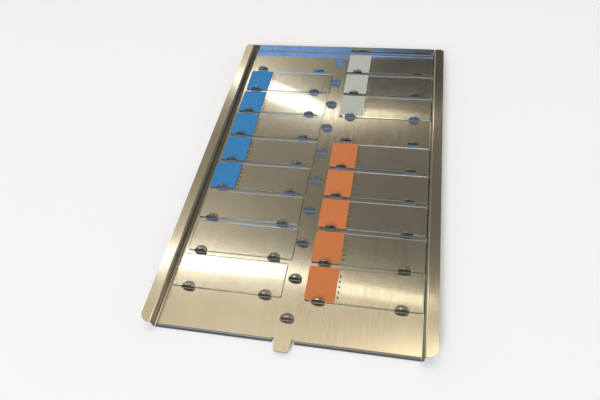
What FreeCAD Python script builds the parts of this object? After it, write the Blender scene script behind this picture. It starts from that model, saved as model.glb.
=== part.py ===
import FreeCAD, Part
import os
import Sketcher

# A slide tray: one folded sheet of stainless steel that carries glass microscope slides in two columns.
# Frame: +X to the right, +Y to the back wall, +Z up; the origin is under the middle of the whole tray.
# The tray itself is drawn with Y = 0 on the rear face of the front row's stops and Z = 0 on its floor.

SIZES = (
    ("slide_length", 76, "glass slide, along X"),
    ("slide_width", 26, "glass slide, along Y"),
    ("slide_thickness", 1, "glass slide"),
    ("slide_corner", 1.2, "rounded corner of a slide"),
    ("coat_length", 20, "coloured writing end of a slide, along X"),
    ("coat_thickness", 0.08, "coloured writing end of a slide"),
    ("sheet_thickness", 0.8, "steel sheet"),
    ("bend_radius", 0.8, "inside radius of the long folds"),
    ("wall_height", 6.3, "side and back walls, above the floor"),
    ("flange_reach", 8.4, "from a side wall's inner face to the flange's outer edge"),
    ("flange_back_corner", 3.2, "rounded corner of a flange, at the back"),
    ("flange_front_corner", 6, "rounded corner of a flange, at the front"),
    ("side_nose", 1, "side walls and flanges, in front of the lip's face"),
    ("back_corner_gap", 0.25, "between the back wall's ends and the side walls"),
    ("lip_drop", 3.5, "front lip, below the floor's top"),
    ("row_count", 9, "rows of slides in a column"),
    ("row_gap", 3.4, "between the slides of neighbouring rows"),
    ("end_play", 3.9, "spare length for a slide between the centre stops and a side wall's fold"),
    ("front_margin", 29.5, "from the front row's stops to the lip's face"),
    ("back_gap", 3.9, "from the last row's slides to the back wall"),
    ("stop_radius", 4.6, "half-round stop, cut from the floor and bent upright"),
    ("stop_bend", 0.4, "inside radius of a stop's fold"),
    ("stop_spacing", 53.5, "between the two stops of a slide"),
    ("stop_cut", 0.1, "width of the cut round a stop"),
    ("stop_clearance", 0.15, "between a slide and its stops"),
    ("pull_reach", 7, "pull tab, in front of the lip's face"),
    ("pull_root", 11, "pull tab's width at the floor"),
    ("pull_tip", 9.7, "pull tab's width at its tip"),
    ("pull_corner", 2, "rounded corner of the pull tab"),
    ("notch_width", 1.7, "gap in the lip on each side of the pull tab"),
)

# Each slide: colour of its writing end, column, row from the back, and the gap to what stops it on its right:
# the centre stops in the left column, the side wall's fold in the right one.
SLIDES = (
    ("blue", "left", 2, 0.2),
    ("blue", "left", 3, 0.2),
    ("blue", "left", 4, 0.55),
    ("blue", "left", 5, 0.1),
    ("blue", "left", 6, 1.05),
    ("clear", "left", 7, 1.35),
    ("clear", "left", 8, 0.35),
    ("clear", "left", 9, 2.35),
    ("white", "right", 1, 0.15),
    ("white", "right", 2, 0.2),
    ("white", "right", 3, 0.1),
    ("orange", "right", 5, 0.2),
    ("orange", "right", 6, 0.15),
    ("orange", "right", 7, 0.1),
    ("orange", "right", 8, 0.05),
    ("orange", "right", 9, 0.1),
)

# Worked-out sizes, as expressions on the sheet
ROW_PITCH = "(sizes.slide_width + sizes.row_gap)"
FLOOR_HALF = "(sizes.stop_radius + sizes.end_play + sizes.slide_length)"
WALL_HALF = f"({FLOOR_HALF} + sizes.bend_radius)"
FLANGE_HALF = f"({WALL_HALF} + sizes.flange_reach)"
OUTER_BEND = "(sizes.bend_radius + sizes.sheet_thickness)"
FLANGE_FLAT = f"(sizes.flange_reach - {OUTER_BEND})"
FRONT = "(-sizes.front_margin)"
NOSE = f"({FRONT} - sizes.side_nose)"
FLOOR_FRONT = f"({FRONT} + {OUTER_BEND})"
LAST_ROW = f"((sizes.row_count - 1) * {ROW_PITCH})"
BACK_WALL = f"({LAST_ROW} + sizes.slide_width + sizes.back_gap)"
FLOOR_BACK = f"({BACK_WALL} - sizes.bend_radius)"
BACK = f"({BACK_WALL} + sizes.sheet_thickness)"
PLACE_CENTRE = f"(({FLOOR_HALF} + sizes.stop_radius) / 2)"
OUTER_STOP = f"({PLACE_CENTRE} + sizes.stop_spacing / 2)"
INNER_STOP = f"({PLACE_CENTRE} - sizes.stop_spacing / 2)"
STOP_FOLD = "(sizes.stop_bend + sizes.sheet_thickness)"
STOP_NECK = "(sqrt(sizes.stop_radius ^ 2 - sizes.stop_bend ^ 2))"
WINDOW = "(sizes.stop_radius + sizes.stop_cut)"
MIDDLE_SHIFT = f"(-({BACK} + {FRONT} - sizes.pull_reach) / 2)"

CENTRE_INDEX = 3  # the centre among an arc's points, in a sketch's constraints
SAME_PLACE = 0.01  # two coordinates closer than this are the same
LEAST_CUT = 0.001  # a pocket that removes less than this volume cuts nothing
UPRIGHT = 0.999  # least z of an upright edge's unit direction
CORNER_SHARE = 0.95  # most of a flange's flat width that its front corner may take

doc = FreeCAD.newDocument("slide_tray")
sheet = doc.addObject("Spreadsheet::Sheet", "sizes")


def fill_sheet():
    for line, (name, value, note) in enumerate(SIZES, start=1):
        sheet.set(f"A{line}", name)
        sheet.set(f"B{line}", str(value))
        sheet.setAlias(f"B{line}", name)
        sheet.set(f"C{line}", note)
    doc.recompute()


def number(expression):
    """The expression's value on the sheet, in millimetres."""
    found = sheet.evalExpression(expression)
    return float(getattr(found, "Value", found))


def new_body(label):
    body = doc.addObject("PartDesign::Body", label)
    body.Label = label
    return body


def place(body, x, y, z):
    for axis, expression in zip("xyz", (x, y, z)):
        body.setExpression(f"Placement.Base.{axis}", expression)


def new_sketch(body, name, plane, offset="0"):
    """A sketch on one of the body's own planes, moved along that plane's normal by offset."""
    sketch = body.newObject("Sketcher::SketchObject", name)
    found = [o for o in body.Origin.OriginFeatures if o.Role == plane]
    sketch.AttachmentSupport = [(found[0], "")]
    sketch.MapMode = "FlatFace"
    if offset != "0":
        sketch.setExpression("AttachmentOffset.Base.z", offset)
    doc.recompute()
    return sketch


def fix(sketch, kind, geometry, end, expression):
    """Hold one coordinate of a point at an expression."""
    index = sketch.addConstraint(Sketcher.Constraint(kind, -1, 1, geometry, end, number(expression)))
    name = f"{kind[-1].lower()}_{geometry}_{end}"
    sketch.renameConstraint(index, name)
    sketch.setExpression(f"Constraints.{name}", expression)


def outline(sketch, corners):
    """A closed outline. Each corner is (x, y), or (x, y, level, turn) where an arc leads to the next corner:
    level is its centre's y, and turn is 1 for an arc that runs anticlockwise and -1 for clockwise."""
    points = [FreeCAD.Vector(number(c[0]), number(c[1]), 0) for c in corners]
    edges = []
    for here, corner in enumerate(corners):
        start, stop = points[here], points[(here + 1) % len(points)]
        if len(corner) == 2:
            edges.append((sketch.addGeometry(Part.LineSegment(start, stop), False), 1, 2))
        else:
            arc = arc_between(start, stop, number(corner[2]), corner[3])
            index = sketch.addGeometry(arc, False)
            edges.append((index, 1, 2) if corner[3] > 0 else (index, 2, 1))
    for here, (index, head, tail) in enumerate(edges):
        follower, follower_head, _ = edges[(here + 1) % len(edges)]
        sketch.addConstraint(Sketcher.Constraint("Coincident", index, tail, follower, follower_head))
        fix(sketch, "DistanceX", index, head, corners[here][0])
        fix(sketch, "DistanceY", index, head, corners[here][1])
        if len(corners[here]) > 2:
            fix(sketch, "DistanceY", index, CENTRE_INDEX, corners[here][2])


def arc_between(start, stop, level, turn):
    """The arc of at most half a turn from start to stop whose centre's y is level."""
    middle = (start + stop) / 2
    across = FreeCAD.Vector(start.y - stop.y, stop.x - start.x, 0).normalize()
    centre = middle + across * ((level - middle.y) / across.y)
    radius = (start - centre).Length
    return Part.Arc(start, centre - across * (turn * radius), stop)


def extrude(body, kind, sketch, name, length, midplane=False, reverse=False):
    feature = body.newObject(kind, name)
    feature.Profile = sketch
    feature.setExpression("Length", length)
    feature.Midplane = midplane
    feature.Reversed = reverse
    doc.recompute()
    return feature


def pad(body, sketch, name, length, **how):
    return extrude(body, "PartDesign::Pad", sketch, name, length, **how)


def pocket(body, sketch, name, length, **how):
    """A pocket that has to take material away."""
    before = body.Shape.Volume
    feature = extrude(body, "PartDesign::Pocket", sketch, name, length, **how)
    if body.Shape.Volume > before - LEAST_CUT:
        raise RuntimeError(f"{name} cuts nothing")
    return feature


def round_edges(body, name, radius, wanted):
    """Fillet the body's upright edges whose middle the test wanted(x, y) accepts."""
    base = body.Tip
    picked = []
    for index, edge in enumerate(base.Shape.Edges, start=1):
        along = edge.tangentAt(edge.FirstParameter)
        middle = edge.CenterOfMass
        if abs(along.z) > UPRIGHT and wanted(middle.x, middle.y):
            picked.append(f"Edge{index}")
    feature = body.newObject("PartDesign::Fillet", name)
    feature.Base = (base, picked)
    feature.setExpression("Radius", radius)
    doc.recompute()
    return feature


def fold_corners(edge, side, height):
    """A sheet's fold and its flat leg, from the floor's end at edge. side is 1 or -1 along the sketch's first
    axis, height the leg's end, above the floor for a fold up and below it for a fold down."""
    up = not height.startswith("(-")
    near, far = ("sizes.bend_radius", OUTER_BEND) if up else (OUTER_BEND, "sizes.bend_radius")
    inner = f"({edge} + {side} * {near})"
    outer = f"({edge} + {side} * {far})"
    level = near if up else f"(-{near})"
    turn = side if up else -side
    return (
        (edge, "0", level, turn),
        (inner, level),
        (inner, height),
        (outer, height),
        (outer, level, level, -turn),
        (edge, "(-sizes.sheet_thickness)"),
    )


def floor(body):
    sketch = new_sketch(body, "floor_plan", "XY_Plane")
    outline(sketch, (
        (f"(-{FLOOR_HALF})", FLOOR_FRONT),
        (FLOOR_HALF, FLOOR_FRONT),
        (FLOOR_HALF, FLOOR_BACK),
        (f"(-{FLOOR_HALF})", FLOOR_BACK),
    ))
    pad(body, sketch, "floor", "sizes.sheet_thickness", reverse=True)


def side_walls(body):
    """Both side walls with their outward flanges, folded from the floor's long edges. Their front ends stand a
    little in front of the lip."""
    sketch = new_sketch(body, "side_section", "XZ_Plane", f"(-{NOSE})")
    wall_top = f"(sizes.wall_height - {OUTER_BEND})"
    under = "(sizes.wall_height - sizes.sheet_thickness)"
    for side in (1, -1):
        def across(distance):
            return f"({side} * {distance})"
        wall_out = f"({WALL_HALF} + sizes.sheet_thickness)"
        flat = f"({WALL_HALF} + {OUTER_BEND})"
        outline(sketch, (
            (across(FLOOR_HALF), "0", "sizes.bend_radius", side),
            (across(WALL_HALF), "sizes.bend_radius"),
            (across(WALL_HALF), wall_top, wall_top, -side),
            (across(flat), "sizes.wall_height"),
            (across(FLANGE_HALF), "sizes.wall_height"),
            (across(FLANGE_HALF), under),
            (across(flat), under, wall_top, side),
            (across(wall_out), wall_top),
            (across(wall_out), "sizes.bend_radius", "sizes.bend_radius", -side),
            (across(FLOOR_HALF), "(-sizes.sheet_thickness)"),
        ))
    pad(body, sketch, "side_walls", f"({BACK} - {NOSE})", reverse=True)


def back_wall(body):
    """The back wall. Above its fold it is a little wider than the floor, and nearly meets the side walls."""
    fold = new_sketch(body, "back_section", "YZ_Plane")
    outline(fold, fold_corners(FLOOR_BACK, 1, "sizes.wall_height"))
    pad(body, fold, "back_wall", f"(2 * {FLOOR_HALF})", midplane=True)
    ends = new_sketch(body, "back_ends_section", "YZ_Plane")
    outline(ends, (
        (BACK_WALL, "sizes.bend_radius"),
        (BACK, "sizes.bend_radius"),
        (BACK, "sizes.wall_height"),
        (BACK_WALL, "sizes.wall_height"),
    ))
    pad(body, ends, "back_ends", f"(2 * ({WALL_HALF} - sizes.back_corner_gap))", midplane=True)


def front_lip(body):
    """The lip, folded down, as wide as the tray between its walls, with a gap in its middle for the pull tab."""
    sketch = new_sketch(body, "lip_section", "YZ_Plane")
    outline(sketch, fold_corners(FLOOR_FRONT, -1, "(-sizes.lip_drop)"))
    pad(body, sketch, "front_lip", f"(2 * {WALL_HALF})", midplane=True)
    gap = new_sketch(body, "lip_gap_section", "XZ_Plane", f"(-{FRONT})")
    half = "(sizes.pull_root / 2 + sizes.notch_width)"
    outline(gap, (
        (f"(-{half})", "(-sizes.lip_drop)"),
        (half, "(-sizes.lip_drop)"),
        (half, "0"),
        (f"(-{half})", "0"),
    ))
    pocket(body, gap, "lip_gap", OUTER_BEND)


def pull_tab(body):
    sketch = new_sketch(body, "pull_plan", "XY_Plane")
    tip = f"({FRONT} - sizes.pull_reach)"
    outline(sketch, (
        ("(-sizes.pull_root / 2)", FLOOR_FRONT),
        ("(-sizes.pull_tip / 2)", tip),
        ("(sizes.pull_tip / 2)", tip),
        ("(sizes.pull_root / 2)", FLOOR_FRONT),
    ))
    pad(body, sketch, "pull_tab", "sizes.sheet_thickness", reverse=True)


def stops(body, name, columns, first, count):
    """Half-round stops in rows: each is cut from the floor behind its fold and bent upright, so a window stays
    open behind it."""
    window = new_sketch(body, f"{name}_window_plan", "XY_Plane")
    neck = new_sketch(body, f"{name}_neck_section", "XZ_Plane", f"({STOP_FOLD} - {first})")
    face = new_sketch(body, f"{name}_face", "XZ_Plane", f"(-{first})")
    level = number("sizes.stop_bend")
    line = Part.LineSegment(FreeCAD.Vector(-1, level, 0), FreeCAD.Vector(1, level, 0))
    axis = neck.addGeometry(line, True)
    for end, x in ((1, "(-1)"), (2, "(1)")):
        fix(neck, "DistanceX", axis, end, x)
        fix(neck, "DistanceY", axis, end, "sizes.stop_bend")
    for column in columns:
        left, right = f"({column} - {WINDOW})", f"({column} + {WINDOW})"
        fold = f"({first} - {STOP_FOLD})"
        outline(window, ((left, fold), (right, fold), (right, first, first, 1), (left, first)))
        left, right = f"({column} - {STOP_NECK})", f"({column} + {STOP_NECK})"
        outline(neck, (
            (left, "(-sizes.sheet_thickness)"),
            (right, "(-sizes.sheet_thickness)"),
            (right, "0"),
            (left, "0"),
        ))
        outline(face, (
            (left, "sizes.stop_bend"),
            (right, "sizes.stop_bend", "0", 1),
        ))
    doc.recompute()
    cut = pocket(body, window, f"{name}_windows", "sizes.sheet_thickness")
    bend = body.newObject("PartDesign::Revolution", f"{name}_folds")
    bend.Profile = neck
    bend.ReferenceAxis = (neck, ["Axis0"])
    bend.Angle = 90
    bend.Reversed = False
    doc.recompute()
    leaf = pad(body, face, f"{name}_leaves", "sizes.sheet_thickness")
    rows = body.newObject("PartDesign::LinearPattern", f"{name}_rows")
    rows.Originals = [cut, bend, leaf]
    back = [o for o in body.Origin.OriginFeatures if o.Role == "Y_Axis"]
    rows.Direction = (back[0], [""])
    rows.setExpression("Length", f"(({count} - 1) * {ROW_PITCH})")
    rows.setExpression("Occurrences", count)
    body.Tip = rows
    doc.recompute()


def round_tray_corners(body):
    edge = number(FLANGE_HALF)
    back = number(BACK)
    nose = number(NOSE)
    tip = number(f"({FRONT} - sizes.pull_reach)")

    def at_flange(x, y, level):
        return abs(abs(x) - edge) < SAME_PLACE and abs(y - level) < SAME_PLACE

    front_radius = f"min(sizes.flange_front_corner; {CORNER_SHARE} * {FLANGE_FLAT})"
    round_edges(body, "back_corners", "sizes.flange_back_corner", lambda x, y: at_flange(x, y, back))
    round_edges(body, "front_corners", front_radius, lambda x, y: at_flange(x, y, nose))
    round_edges(body, "pull_corners", "sizes.pull_corner", lambda x, y: abs(y - tip) < SAME_PLACE)


def make_tray():
    body = new_body("tray")
    floor(body)
    side_walls(body)
    back_wall(body)
    front_lip(body)
    pull_tab(body)
    round_tray_corners(body)
    columns = [f"({side} * {stop})" for side in (-1, 1) for stop in (INNER_STOP, OUTER_STOP)]
    stops(body, "row_stops", columns, "0", "sizes.row_count")
    stops(body, "centre_stops", ["0"], f"(-{ROW_PITCH} / 2)", "(sizes.row_count + 1)")
    place(body, "0", MIDDLE_SHIFT, "sizes.lip_drop")
    return body


def slide_place(column, row, gap):
    """Left end, front edge and underside of a slide, in the tray's frame on the part."""
    stop = "(-sizes.stop_radius)" if column == "left" else FLOOR_HALF
    x = f"({stop} - {gap} - sizes.slide_length)"
    y = f"({MIDDLE_SHIFT} + (sizes.row_count - {row}) * {ROW_PITCH} + sizes.stop_clearance)"
    return x, y, "sizes.lip_drop"


def plate(label, length, thickness, rounded):
    """A flat rectangle as deep as a slide, with the upright corners at the ends in rounded made round."""
    body = new_body(label)
    sketch = new_sketch(body, f"{label}_plan", "XY_Plane")
    outline(sketch, (
        ("0", "0"),
        (length, "0"),
        (length, "sizes.slide_width"),
        ("0", "sizes.slide_width"),
    ))
    pad(body, sketch, f"{label}_pad", thickness)
    ends = [number(end) for end in rounded]
    round_edges(body, f"{label}_corners", "sizes.slide_corner",
                lambda x, y: any(abs(x - end) < SAME_PLACE for end in ends))
    return body


def make_slide(colour, column, row, gap):
    """A glass slide and, where it has one, its coloured writing end on the left."""
    x, y, z = slide_place(column, row, gap)
    both_ends = ("0", "sizes.slide_length")
    glass = plate(f"slide_{column}_{row}", "sizes.slide_length", "sizes.slide_thickness", both_ends)
    place(glass, x, y, z)
    if colour == "clear":
        return [glass]
    coat = plate(f"{colour}_end_{column}_{row}", "sizes.coat_length", "sizes.coat_thickness", ("0",))
    place(coat, x, y, f"({z} + sizes.slide_thickness)")
    return [glass, coat]


def check(bodies):
    """Stop if any object failed to build, or a piece isn't one sound solid."""
    for item in doc.Objects:
        if {"Invalid", "Error"} & set(item.State):
            raise RuntimeError(f"{item.Name} did not build: {item.State}")
    for body in bodies:
        shape = body.Shape
        if shape.isNull() or not shape.isValid() or len(shape.Solids) != 1:
            raise RuntimeError(f"{body.Label} is not one sound solid")


def write(bodies):
    os.makedirs("parts", exist_ok=True)
    for body in bodies:
        body.Shape.exportStep(f"parts/{body.Label}.step")


fill_sheet()
pieces = [make_tray()]
for slide in SLIDES:
    pieces.extend(make_slide(*slide))
doc.recompute()
check(pieces)
write(pieces)
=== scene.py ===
"""Looks of a slide tray: brushed sheet, glass slides, coloured ends and a small photo studio."""

import math

import bmesh
import bpy
from mathutils import Matrix, Vector


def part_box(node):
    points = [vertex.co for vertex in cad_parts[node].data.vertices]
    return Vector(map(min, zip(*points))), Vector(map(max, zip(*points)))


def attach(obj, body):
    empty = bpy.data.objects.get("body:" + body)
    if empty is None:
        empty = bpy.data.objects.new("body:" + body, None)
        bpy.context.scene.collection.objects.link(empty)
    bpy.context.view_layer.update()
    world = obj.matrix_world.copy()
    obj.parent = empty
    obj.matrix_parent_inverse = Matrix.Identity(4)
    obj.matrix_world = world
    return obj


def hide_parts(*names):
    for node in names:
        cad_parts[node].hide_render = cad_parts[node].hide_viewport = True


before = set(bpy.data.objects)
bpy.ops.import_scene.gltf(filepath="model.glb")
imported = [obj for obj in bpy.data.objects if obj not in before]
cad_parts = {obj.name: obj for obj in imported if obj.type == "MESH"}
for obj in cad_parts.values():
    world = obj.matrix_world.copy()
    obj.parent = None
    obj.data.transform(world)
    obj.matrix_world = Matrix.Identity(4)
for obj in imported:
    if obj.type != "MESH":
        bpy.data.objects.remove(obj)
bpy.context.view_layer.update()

bl_info = {
    "name": "Slide tray looks",
    "version": (1, 0, 0),
    "blender": (4, 5, 0),
    "location": "3D View > Sidebar > Tray",
    "description": "Gives the slide tray its finishes, its slides and its studio",
    "category": "Object",
}

BODY = "root"
MM = 0.001

# colours of the writing ends, each with its slot in the record
ENDS = {"blue": "blue_coat", "white": "white_coat", "orange": "orange_coat"}

# nearly all values of a noise texture lie between these two
NOISE_LOW = 0.25
NOISE_HIGH = 0.75

# a Mix node gives a number, a vector and a colour, and the colour is this output
MIXED_COLOUR = 2


def linear(text):
    """An sRGB hex colour as linear red, green and blue."""
    parts = [int(text[i : i + 2], 16) / 255 for i in (1, 3, 5)]
    return tuple(c / 12.92 if c <= 0.04045 else ((c + 0.055) / 1.055) ** 2.4 for c in parts)


def length(name, description, default):
    """A length in metres that the sidebar shows with its unit."""
    return bpy.props.FloatProperty(
        name=name, description=description, default=default, unit="LENGTH", precision=5, min=0.0
    )


def angle(name, description, default):
    """An angle in radians that the sidebar shows in degrees."""
    return bpy.props.FloatProperty(name=name, description=description, default=default, unit="ROTATION")


def amount(name, description, default, top=1.0):
    """A plain number from nothing to top."""
    return bpy.props.FloatProperty(
        name=name, description=description, default=default, min=0.0, max=top, subtype="FACTOR"
    )


def colour(name, description, text):
    """A colour whose default is given as an sRGB hex value."""
    return bpy.props.FloatVectorProperty(
        name=name, description=description, default=linear(text), size=3, min=0.0, subtype="COLOR"
    )


class SheetSettings(bpy.types.PropertyGroup):
    """Finish of the folded sheet."""

    tint: colour("Steel", "Reflection colour of the bare steel", "#C2BDB2")
    worn: colour("Handled steel", "Reflection colour where the sheet has dulled", "#B5AE9F")
    rough: amount("Roughness", "Width of the blurred reflections", 0.14)
    brushing: amount("Brushing", "How much wider reflections spread across the brushing", 0.75)
    line: length("Line spacing", "Distance between brushing lines, drawn coarse enough to show", 0.6 * MM)
    stroke: length("Stroke length", "Length of a brushing line", 40 * MM)


class SlideSettings(bpy.types.PropertyGroup):
    """Shape and finish of the glass slides."""

    tint: colour("Glass", "Colour that the glass takes where light runs a long way in it", "#3AD6AC")
    depth: bpy.props.FloatProperty(
        name="Colour density",
        description="How fast the glass takes on its colour, per metre",
        default=12.0,
        min=0.0,
    )
    edge: colour("Ground edge", "Colour of the ground edges", "#C3D3BE")
    clear: amount("Edge clearness", "How much light still passes through a ground edge", 0.78)
    frost: amount("Edge roughness", "Roughness of the ground edges", 0.5)
    index: amount("Refraction", "Index of refraction of soda-lime glass", 1.52, 2.0)
    corner: length("Corner radius", "Radius of a slide's corners", 1.2 * MM)
    ground: length("Bevel", "Width of the ground bevel along a slide's edges", 0.12 * MM)
    air: length("Air gap", "Film of air between a slide and the sheet under it", 0.02 * MM)


class EndSettings(bpy.types.PropertyGroup):
    """Finish of the coloured writing ends."""

    blue: colour("Blue", "Colour of the blue coats", "#2B7BB4")
    white: colour("White", "Colour of the white coats", "#B3B6AD")
    orange: colour("Orange", "Colour of the orange coats", "#C4733F")
    rough: amount("Roughness", "Roughness of the matt coat", 0.55)
    grain: length("Grain", "Size of the coat's grain, drawn coarse enough to show", 0.6 * MM)


class MarkSettings(bpy.types.PropertyGroup):
    """Plain round marks beside the writing ends."""

    shade: colour("Shade", "What the print keeps of its coat's colour", "#A8B09A")
    width: length("Mark width", "Diameter of a printed mark", 1.2 * MM)
    pitch: length("Mark pitch", "Distance from one mark to the next", 4.0 * MM)
    inset: length("Mark inset", "Distance from the coat to the marks' centres", 1.6 * MM)
    shift: length("Mark shift", "How far the marks sit in front of the coat's middle", 0.8 * MM)
    count: bpy.props.IntProperty(name="Marks", description="Marks beside one writing end", default=5, min=1)


class StageSettings(bpy.types.PropertyGroup):
    """Studio floor, lights and camera."""

    paper: colour("Paper", "Colour of the pale floor", "#F1F1F1")
    lens: bpy.props.FloatProperty(
        name="Focal length", description="Focal length in millimetres", default=31.787, min=1.0
    )
    place: bpy.props.FloatVectorProperty(
        name="Camera place",
        description="Where the camera stands",
        default=(62.867 * MM, -274.023 * MM, 311.798 * MM),
        size=3,
        unit="LENGTH",
        precision=5,
    )
    heading: angle("Heading", "Turn of the camera from straight ahead", -0.288)
    dip: angle("Dip", "How far the camera looks down", 0.885)
    roll: angle("Roll", "Lean of the camera about its own line of sight", -0.144)
    key: bpy.props.FloatProperty(
        name="Key light", description="Power of the large soft light in front", default=340.0, unit="POWER"
    )


def add(tree, kind, inputs=(), **settings):
    """Adds one node. Settings go on the node. Each input is a value for its socket, or an output that is
    linked to it."""
    node = tree.nodes.new(kind)
    for name, value in settings.items():
        setattr(node, name, value)
    for socket, value in dict(inputs).items():
        if isinstance(value, bpy.types.NodeSocket):
            tree.links.new(value, node.inputs[socket])
        else:
            node.inputs[socket].default_value = value
    return node


def new_material(name, inputs):
    """A material with one Principled shader whose plain sockets are set."""
    material = bpy.data.materials.new(name)
    material.use_nodes = True
    tree = material.node_tree
    tree.nodes.clear()
    shader = add(tree, "ShaderNodeBsdfPrincipled", inputs)
    add(tree, "ShaderNodeOutputMaterial", {"Surface": shader.outputs[0]})
    return material, tree, shader


def wear(piece, *materials):
    """Gives a piece its materials."""
    piece.data.materials.clear()
    for material in materials:
        piece.data.materials.append(material)


def noise(tree, place, sizes, detail=2.0):
    """Noise between 0 and 1 whose grains measure sizes, in metres, along the three axes."""
    scaled = add(
        tree,
        "ShaderNodeMapping",
        {"Vector": place, "Scale": tuple(1 / s for s in sizes)},
        vector_type="POINT",
    )
    return add(
        tree,
        "ShaderNodeTexNoise",
        {"Vector": scaled.outputs[0], "Scale": 1.0, "Detail": detail, "Roughness": 0.6},
    ).outputs["Fac"]


def spread(tree, value, low, high):
    """A noise value carried to the range from low to high."""
    return add(
        tree,
        "ShaderNodeMapRange",
        {"Value": value, "From Min": NOISE_LOW, "From Max": NOISE_HIGH, "To Min": low, "To Max": high},
    ).outputs["Result"]


def blend(tree, share, first, second, how="MIX"):
    """Mixes the second colour into the first by a share, plainly or in another way that the node knows."""
    return add(
        tree,
        "ShaderNodeMix",
        {"Factor": share, "A": first, "B": second},
        data_type="RGBA",
        blend_type=how,
    ).outputs[MIXED_COLOUR]


PATCH = (40 * MM, 55 * MM, 40 * MM)  # size of the places where the sheet has dulled
STREAK_GREYS = (0.97, 1.0)  # share of the steel's colour that the darkest and the brightest lines keep
STREAK_ROUGHS = (0.55, 1.6)  # roughness of the lines, as shares of the sheet's
RISE = 0.05  # lifts the tangent a little, so that it stands upright on the side walls


def brushed_stainless(sheet):
    """Stainless sheet, brushed along the tray with a fine belt: reflections stay sharp along the lines and
    spread across them, and the lines show as faint streaks of uneven gloss."""
    material, tree, shader = new_material(
        "brushed_stainless",
        {"Metallic": 1.0, "Anisotropic": sheet.brushing},
    )
    place = add(tree, "ShaderNodeTexCoord").outputs["Object"]
    lines = noise(tree, place, (sheet.line, sheet.stroke, sheet.line))
    patches = noise(tree, place, PATCH)
    tone = blend(tree, patches, (*sheet.tint, 1), (*sheet.worn, 1))
    streaked = blend(tree, 1.0, tone, spread(tree, lines, *STREAK_GREYS), "MULTIPLY")
    gloss = spread(tree, lines, *(sheet.rough * share for share in STREAK_ROUGHS))
    across = add(tree, "ShaderNodeCombineXYZ", {"X": 1.0, "Z": RISE}).outputs[0]
    tree.links.new(streaked, shader.inputs["Base Color"])
    tree.links.new(gloss, shader.inputs["Roughness"])
    tree.links.new(across, shader.inputs["Tangent"])
    return material


def soda_lime_glass(slide):
    """Clear soda-lime glass: sharp weak reflections, colourless through its face and green along its
    length, so that the cut edges show as thin greenish lines."""
    material, tree, _ = new_material(
        "soda_lime_glass",
        {"Base Color": (1, 1, 1, 1), "Roughness": 0.0, "IOR": slide.index, "Transmission Weight": 1.0},
    )
    inside = add(tree, "ShaderNodeVolumeAbsorption", {"Color": (*slide.tint, 1), "Density": slide.depth})
    ending = next(node for node in tree.nodes if node.bl_idname == "ShaderNodeOutputMaterial")
    tree.links.new(inside.outputs[0], ending.inputs["Volume"])
    return material


def ground_glass(slide):
    """The slides' ground edges: dull glass that glows with the light inside the slide and catches light
    from all sides."""
    material, _, _ = new_material(
        "ground_glass_edge",
        {
            "Base Color": (*slide.edge, 1),
            "Roughness": slide.frost,
            "IOR": slide.index,
            "Transmission Weight": slide.clear,
        },
    )
    return material


CLOUD = 9 * MM  # size of a coat's darker clouds
CLOUD_TONE = 0.93  # share of the coat's colour that its darker clouds keep
GRAIN_ROUGHS = (0.9, 1.1)  # roughness of the grain's pits and tops, as shares of the coat's
GRAIN_HEIGHT = 0.03 * MM


def writing_coat(name, tone, end):
    """Matt printed writing coat: an even colour with a fine pencil-holding grain."""
    material, tree, shader = new_material(name, {"IOR": 1.5, "Specular IOR Level": 0.4})
    place = add(tree, "ShaderNodeTexCoord").outputs["Object"]
    grain = noise(tree, place, (end.grain,) * 3, 3.0)
    cloud = spread(tree, noise(tree, place, (CLOUD,) * 3, 1.0), 0.0, 1.0)
    deep = tuple(part * CLOUD_TONE for part in tone)
    clouded = blend(tree, cloud, (*deep, 1), (*tone, 1))
    gloss = spread(tree, grain, *(end.rough * share for share in GRAIN_ROUGHS))
    bump = add(tree, "ShaderNodeBump", {"Height": grain, "Strength": 0.25, "Distance": GRAIN_HEIGHT})
    tree.links.new(clouded, shader.inputs["Base Color"])
    tree.links.new(gloss, shader.inputs["Roughness"])
    tree.links.new(bump.outputs[0], shader.inputs["Normal"])
    return material


FIBRE = 1.5 * MM  # size of the paper's fibres
FIBRE_TONE = 0.985  # share of the paper's colour that its darker fibres keep


def pale_paper(stage):
    """Matt uncoated paper: nearly white and even, without any shine, with fibres that hardly show."""
    material, tree, shader = new_material("pale_paper", {"Roughness": 0.9, "Specular IOR Level": 0.1})
    place = add(tree, "ShaderNodeTexCoord").outputs["Object"]
    fibre = noise(tree, place, (FIBRE,) * 3, 3.0)
    deep = tuple(part * FIBRE_TONE for part in stage.paper)
    tree.links.new(blend(tree, fibre, (*deep, 1), (*stage.paper, 1)), shader.inputs["Base Color"])
    return material


def new_piece(name, mesh_maker, materials):
    """A new object at the origin whose mesh the maker fills, riding on the tray's body."""
    mesh = bpy.data.meshes.new(name)
    shape = bmesh.new()
    mesh_maker(shape)
    bmesh.ops.recalc_face_normals(shape, faces=shape.faces)
    shape.to_mesh(mesh)
    shape.free()
    piece = bpy.data.objects.new(name, mesh)
    bpy.context.scene.collection.objects.link(piece)
    wear(piece, *materials)
    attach(piece, BODY)
    return piece


def bevel(shape, edges, offset, segments):
    """Bevels edges: flat with one segment, and as a quarter circle with more."""
    bmesh.ops.bevel(
        shape, geom=edges, offset=offset, segments=segments, profile=0.5, affect="EDGES", material=-1
    )


def block(shape, low, high):
    """A box between two corners."""
    made = bmesh.ops.create_cube(shape, size=1.0)["verts"]
    bmesh.ops.scale(shape, vec=high - low, verts=made)
    bmesh.ops.translate(shape, vec=(low + high) / 2, verts=made)


CORNER_STEPS = 5
SIDE_NORMAL = 0.5  # a side's normal rises or falls by less than this
FACE_NORMAL = 0.9  # the normal of a large face rises or falls by more than this

# the order of a slide's materials
CLEAR = 0
GROUND = 1


def climb(edge):
    """How far one end of an edge lies above the other."""
    return abs(edge.verts[0].co.z - edge.verts[1].co.z)


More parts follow.
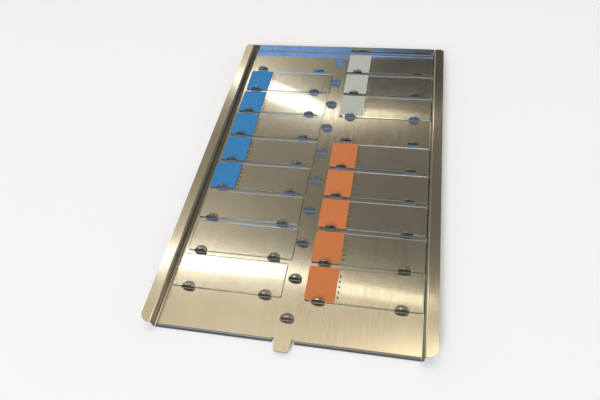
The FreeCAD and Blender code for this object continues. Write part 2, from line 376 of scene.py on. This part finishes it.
def ground_slide(shape, low, high, slide):
    """A glass plate with round corners and a bevel along its upper and lower rims. Its two large faces
    are clear, and its sides and bevels are ground. It ends a little below its coat, so that no two faces
    meet in one plane."""
    lift = Vector((0, 0, slide.air))
    block(shape, low + lift, high - lift / 4)
    upright = [edge for edge in shape.edges if climb(edge) > slide.ground]
    bevel(shape, upright, slide.corner, CORNER_STEPS)
    level = [edge for edge in shape.edges if climb(edge) < slide.air]
    rims = [edge for edge in level if any(abs(face.normal.z) < SIDE_NORMAL for face in edge.link_faces)]
    bevel(shape, rims, slide.ground, 1)
    for face in shape.faces:
        face.material_index = CLEAR if abs(face.normal.z) > FACE_NORMAL else GROUND


def named(start):
    """The names of the CAD nodes that begin this way, in order."""
    return sorted(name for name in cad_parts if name.startswith(start))


class TRAY_OT_sheet(bpy.types.Operator):
    """Give the folded tray its brushed stainless finish"""

    bl_idname = "tray.sheet"
    bl_label = "Brushed sheet"

    def execute(self, context):
        wear(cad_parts["tray"], brushed_stainless(context.scene.tray_sheet))
        return {"FINISHED"}


class TRAY_OT_slides(bpy.types.Operator):
    """Make the glass slides with their ground edges"""

    bl_idname = "tray.slides"
    bl_label = "Glass slides"

    def execute(self, context):
        slide = context.scene.tray_slides
        glass = (soda_lime_glass(slide), ground_glass(slide))
        for node in named("slide_"):
            low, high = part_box(node)
            piece = new_piece(
                f"glass_{node}", lambda shape: ground_slide(shape, low, high, slide), glass
            )
            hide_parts(node)
        return {"FINISHED"}


class TRAY_OT_ends(bpy.types.Operator):
    """Give the writing ends their matt coats"""

    bl_idname = "tray.ends"
    bl_label = "Writing ends"

    def execute(self, context):
        end = context.scene.tray_ends
        for hue in ENDS:
            coat = writing_coat(f"matt_{hue}_writing_coat", tuple(getattr(end, hue)), end)
            for node in named(f"{hue}_end_"):
                wear(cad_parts[node], coat)
        return {"FINISHED"}


MARK_SIDES = 16
PRINT_SHARE = 0.25  # thickness of the marks, as a share of the coat's


def mark_row(shape, node, mark):
    """A column of thin round marks on the glass, just right of a writing end."""
    low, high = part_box(node)
    thick = (high.z - low.z) * PRINT_SHARE
    radius = mark.width / 2
    middle = (low.y + high.y) / 2 - mark.shift
    for step in range(mark.count):
        along = middle + (step - (mark.count - 1) / 2) * mark.pitch
        made = bmesh.ops.create_cone(
            shape, cap_ends=True, segments=MARK_SIDES, radius1=radius, radius2=radius, depth=thick
        )["verts"]
        bmesh.ops.translate(shape, vec=(high.x + mark.inset, along, low.z + thick / 2), verts=made)


class TRAY_OT_marks(bpy.types.Operator):
    """Print plain round marks beside the writing ends"""

    bl_idname = "tray.marks"
    bl_label = "Printed marks"

    def execute(self, context):
        mark = context.scene.tray_marks
        end = context.scene.tray_ends
        for hue, slot in ENDS.items():
            tone = tuple(part * kept for part, kept in zip(getattr(end, hue), mark.shade))
            ink = writing_coat(f"matt_{hue}_print", tone, end)
            for node in named(f"{hue}_end_"):
                place = node.split("_end_")[1]
                new_piece(f"marks_{place}", lambda shape: mark_row(shape, node, mark), (ink,))
        return {"FINISHED"}


def camera_turn(stage):
    """The camera's axes as a rotation: image right, image up, and back along the line of sight."""
    heading = stage.heading
    dip = stage.dip
    forward = Vector((math.sin(heading) * math.cos(dip), math.cos(heading) * math.cos(dip), -math.sin(dip)))
    right = Vector((math.cos(heading), -math.sin(heading), 0))
    up = right.cross(forward)
    cosine = math.cos(stage.roll)
    sine = math.sin(stage.roll)
    return Matrix((cosine * right + sine * up, cosine * up - sine * right, -forward)).transposed()


def make_camera(stage):
    """The camera that looks at the tray, with no depth of field."""
    lens = bpy.data.cameras.new("camera")
    lens.lens = stage.lens
    lens.sensor_width = 36.0
    lens.sensor_fit = "HORIZONTAL"
    lens.clip_start = 0.01
    camera = bpy.data.objects.new("camera", lens)
    camera.matrix_world = Matrix.Translation(stage.place) @ camera_turn(stage).to_4x4()
    bpy.context.scene.collection.objects.link(camera)
    bpy.context.scene.camera = camera


FLOOR_REACH = 12.0  # metres from the tray to the paper's sides


def make_floor(stage):
    """A wide sheet of pale paper under the tray, which the steel doesn't mirror."""
    mesh = bpy.data.meshes.new("paper_floor")
    shape = bmesh.new()
    bmesh.ops.create_grid(shape, x_segments=1, y_segments=1, size=FLOOR_REACH)
    shape.to_mesh(mesh)
    shape.free()
    floor = bpy.data.objects.new("paper_floor", mesh)
    bpy.context.scene.collection.objects.link(floor)
    wear(floor, pale_paper(stage))
    floor.visible_glossy = False


BOUNCES = 32


def long_way(cycles):
    """Lets light bounce often enough to run the length of a slide inside the glass, and keeps what the
    steel under the glass mirrors as sharp as the bare steel shows it."""
    cycles.max_bounces = BOUNCES
    cycles.glossy_bounces = BOUNCES
    cycles.transmission_bounces = BOUNCES
    cycles.blur_glossy = 0.0


def soft_light(name, place, side, power, tone):
    """A square soft light that points at the tray. It isn't seen itself, neither in the steel nor through
    the glass."""
    light = bpy.data.lights.new(name, "AREA")
    light.shape = "RECTANGLE"
    light.size = side
    light.size_y = side
    light.energy = power
    light.color = tone
    lamp = bpy.data.objects.new(name, light)
    turn = (-Vector(place)).to_track_quat("-Z", "Y").to_matrix().to_4x4()
    lamp.matrix_world = Matrix.Translation(place) @ turn
    lamp.visible_camera = False
    lamp.visible_glossy = False
    lamp.visible_transmission = False
    bpy.context.scene.collection.objects.link(lamp)


def glow(tree, plane, total, middle, size, turn, hard, tone, power):
    """Adds a soft oval light to the studio's ceiling. Middle and size are shares of the ceiling's height,
    and hard is the share of the oval that is evenly bright."""
    local = add(
        tree,
        "ShaderNodeMapping",
        {"Vector": plane, "Location": (*middle, 0), "Rotation": (0, 0, turn), "Scale": (*size, 1)},
        vector_type="TEXTURE",
    )
    away = add(tree, "ShaderNodeVectorMath", {0: local.outputs[0]}, operation="LENGTH").outputs["Value"]
    level = add(
        tree,
        "ShaderNodeMapRange",
        {"Value": away, "From Min": hard, "From Max": 1.0, "To Min": power, "To Max": 0.0},
        interpolation_type="SMOOTHSTEP",
    )
    lit = add(tree, "ShaderNodeVectorMath", {0: tone, "Scale": level.outputs[0]}, operation="SCALE")
    return add(tree, "ShaderNodeVectorMath", {0: total, 1: lit.outputs[0]}, operation="ADD").outputs[0]


WARM = linear("#F4E6C8")
DAY = linear("#5F8FE6")
WHITE = linear("#FFFDF6")
HAZE = linear("#86AEF0")

# Each line gives the middle across and along, the half width across and along, the turn, the even share,
# the colour and the brightness. Along runs away from the camera, and 1 is the ceiling's height above the
# tray.
CEILING_LIGHTS = (
    # two narrow lamps, each with a fainter right end: the bright bands across the floor
    ((-0.56, 0.588), (0.48, 0.032), -0.02, 0.7, WHITE, 4.0),
    ((-0.02, 0.552), (0.26, 0.022), -0.05, 0.3, WARM, 3.2),
    ((-0.40, 1.190), (0.30, 0.047), -0.44, 0.6, WHITE, 4.0),
    ((-0.12, 1.104), (0.24, 0.034), 0.0, 0.2, WARM, 3.4),
    ((-0.35, 1.080), (0.40, 0.110), 0.0, 0.0, WARM, 0.3),
    # wide warm lights: the floor's front part and the left wall
    ((-0.30, 0.250), (0.90, 0.460), 0.0, 0.2, WARM, 1.4),
    ((0.16, 0.340), (0.32, 0.200), 0.0, 0.0, WARM, 4.4),
    ((0.48, 0.500), (0.14, 0.140), 0.0, 0.2, WARM, 1.4),
    ((0.52, 0.280), (0.22, 0.190), 0.0, 0.5, WARM, 1.2),
    # faint wide glows: the grey between the bands, and the floor's far end
    ((-0.55, 0.650), (0.45, 0.220), 0.0, 0.1, WARM, 0.5),
    ((-0.68, 0.820), (0.18, 0.320), 0.0, 0.3, WARM, 0.45),
    ((-0.55, 0.850), (0.55, 0.400), 0.0, 0.3, WARM, 0.20),
    ((0.00, 0.800), (1.30, 0.420), 0.0, 0.7, WARM, 0.13),
    ((-0.65, 1.450), (0.65, 0.450), 0.0, 0.1, WARM, 1.2),
    # daylight over the camera's side, and a warm light above it: the stops, the back wall and the lip's bend
    ((-0.55, -1.390), (0.68, 0.170), 0.0, 0.3, DAY, 9.0),
    ((-0.20, -0.950), (0.80, 0.380), 0.0, 0.3, HAZE, 1.4),
    ((0.00, -0.200), (0.90, 0.400), 0.0, 0.2, WARM, 0.6),
    # lights far out to all sides, which the steel mirrors when it is seen from elsewhere
    ((2.70, 0.000), (1.50, 2.200), 0.0, 0.5, WHITE, 0.7),
    ((-2.70, 0.000), (1.50, 2.200), 0.0, 0.5, WHITE, 0.7),
    ((0.00, 2.900), (1.80, 1.300), 0.0, 0.5, WHITE, 0.6),
    ((0.00, -2.700), (1.80, 1.200), 0.0, 0.5, WHITE, 0.7),
    ((0.85, -1.200), (0.55, 1.000), 0.0, 0.4, WHITE, 0.6),
    ((-1.35, -1.200), (0.60, 1.000), 0.0, 0.4, WHITE, 0.6),
)

# The room's tone straight down, then its tones higher up. Each of these starts at one height of a direction
# of length one and is full at another: the walls at the horizon, and the ceiling.
LOW_ROOM = linear("#807E78")
HIGH_ROOM = (
    (-0.04, 0.04, linear("#B4B2AC")),
    (0.12, 0.45, linear("#626260")),
)

LOWEST = 0.08  # the least height for which a direction is carried to the ceiling, so that it stays finite


def make_sky():
    """The studio's walls and ceiling: a grey room with soft ceiling lights, and blue daylight over the
    camera's side."""
    world = bpy.data.worlds.new("studio")
    world.use_nodes = True
    bpy.context.scene.world = world
    tree = world.node_tree
    tree.nodes.clear()
    toward = add(tree, "ShaderNodeTexCoord").outputs["Generated"]
    parts = add(tree, "ShaderNodeSeparateXYZ", {0: toward})
    height = add(tree, "ShaderNodeMath", {0: parts.outputs["Z"], 1: LOWEST}, operation="MAXIMUM").outputs[0]
    heights = add(tree, "ShaderNodeCombineXYZ", {"X": height, "Y": height, "Z": 1.0}).outputs[0]
    plane = add(tree, "ShaderNodeVectorMath", {0: toward, 1: heights}, operation="DIVIDE").outputs[0]
    flat = add(tree, "ShaderNodeVectorMath", {0: plane, 1: (1, 1, 0)}, operation="MULTIPLY").outputs[0]
    total = (*LOW_ROOM, 1)
    for low, high, tone in HIGH_ROOM:
        share = add(
            tree,
            "ShaderNodeMapRange",
            {"Value": parts.outputs["Z"], "From Min": low, "From Max": high},
            interpolation_type="SMOOTHSTEP",
        ).outputs[0]
        total = blend(tree, share, total, (*tone, 1))
    for middle, size, turn, hard, tone, power in CEILING_LIGHTS:
        total = glow(tree, flat, total, middle, size, turn, hard, tone, power)
    light = add(tree, "ShaderNodeBackground", {"Color": total, "Strength": 1.0})
    add(tree, "ShaderNodeOutputWorld", {"Surface": light.outputs[0]})


KEY_PLACE = (-0.8, -4.8, 4.0)  # metres from the tray: in front of it, a little to the left and high up
KEY_SIDE = 3.6
KEY_TONE = linear("#F3F7FF")


class TRAY_OT_stage(bpy.types.Operator):
    """Set up the pale floor, the studio lights and the camera"""

    bl_idname = "tray.stage"
    bl_label = "Studio"

    def execute(self, context):
        stage = context.scene.tray_stage
        context.scene.view_settings.view_transform = "Standard"
        long_way(context.scene.cycles)
        make_floor(stage)
        make_sky()
        soft_light("key", KEY_PLACE, KEY_SIDE, stage.key, KEY_TONE)
        make_camera(stage)
        return {"FINISHED"}


class TRAY_PT_panel(bpy.types.Panel):
    """The tray's settings and steps, in the 3D view's sidebar"""

    bl_label = "Slide tray"
    bl_space_type = "VIEW_3D"
    bl_region_type = "UI"
    bl_category = "Tray"

    def draw(self, context):
        for step in STEPS:
            self.layout.operator(step.bl_idname)
        for group in GROUPS:
            settings = getattr(context.scene, group)
            box = self.layout.box()
            for name in settings.bl_rna.properties.keys():
                if name not in ("rna_type", "name"):
                    box.prop(settings, name)


GROUPS = {
    "tray_sheet": SheetSettings,
    "tray_slides": SlideSettings,
    "tray_ends": EndSettings,
    "tray_marks": MarkSettings,
    "tray_stage": StageSettings,
}
STEPS = (TRAY_OT_sheet, TRAY_OT_slides, TRAY_OT_ends, TRAY_OT_marks, TRAY_OT_stage)


def register():
    """Makes the settings, the steps and the panel known, and hangs the settings on the scene."""
    for item in (*GROUPS.values(), *STEPS, TRAY_PT_panel):
        bpy.utils.register_class(item)
    for name, group in GROUPS.items():
        setattr(bpy.types.Scene, name, bpy.props.PointerProperty(type=group))


def unregister():
    """Takes all of it away again."""
    for name in GROUPS:
        delattr(bpy.types.Scene, name)
    for item in reversed((*GROUPS.values(), *STEPS, TRAY_PT_panel)):
        bpy.utils.unregister_class(item)


def main():
    """Dresses the tray step by step."""
    register()
    for step in STEPS:
        area, name = step.bl_idname.split(".")
        getattr(getattr(bpy.ops, area), name)()


if __name__ == "__main__":
    main()
